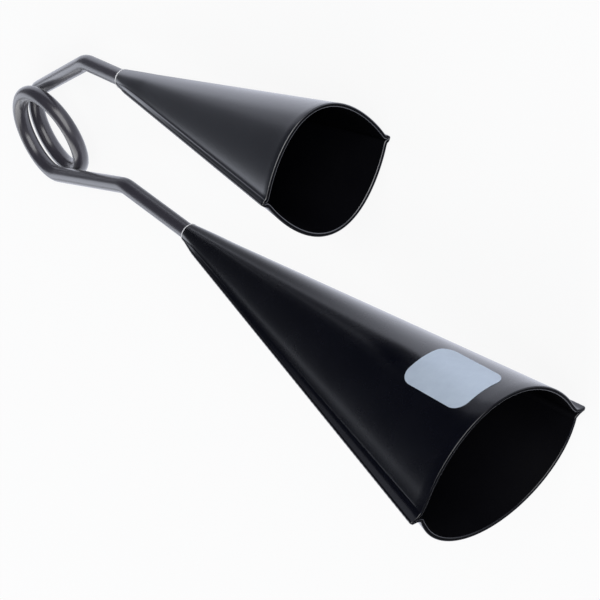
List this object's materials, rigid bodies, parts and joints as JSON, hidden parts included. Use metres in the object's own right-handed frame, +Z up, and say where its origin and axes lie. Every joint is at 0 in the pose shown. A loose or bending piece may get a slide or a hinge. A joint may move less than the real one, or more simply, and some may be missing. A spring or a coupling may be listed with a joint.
{
  "type": "agogo bell",
  "caption": "Conical sheet steel hand bells, one large and one small, welded to a bent steel rod whose round spring loop is the handle.",
  "frame": {"origin": "centre of the bounding box's base, with the part lying on its side on Z = 0", "axes": "+Z up, +X from the handle to the mouths of the bells, +Y from the large bell towards the small one"},
  "size_m": [0.3609, 0.1526, 0.0968],
  "materials": {
    "rod_coat": "semi-gloss black coat",
    "shell_coat": "satin black powder coat",
    "weld_coat": "semi-gloss black coat, worn bright in places",
    "label": "silver film, blank"
  },
  "bodies": {
    "large_bell": {"spring_loop": "rod_coat", "large_bell_arm": "rod_coat", "large_facing_shell": "shell_coat", "large_outer_shell": "shell_coat", "large_upper_seam": "weld_coat", "large_resting_seam": "weld_coat", "large_neck_weld": "weld_coat", "blank_label": "label"},
    "small_bell": {"small_bell_arm": "rod_coat", "small_facing_shell": "shell_coat", "small_outer_shell": "shell_coat", "small_upper_seam": "weld_coat", "small_resting_seam": "weld_coat", "small_neck_weld": "weld_coat"}
  },
  "joints": [
    {"name": "squeeze", "type": "hinge", "parent": "large_bell", "child": "small_bell", "pos_m": [-0.15367, -0.02123, 0.01238], "axis": [0.1002, 0.0697, -0.9925], "range_deg": [-3, 8], "stiffness_Nm_per_rad": 150, "deforming": ["spring_loop"]}
  ]
}
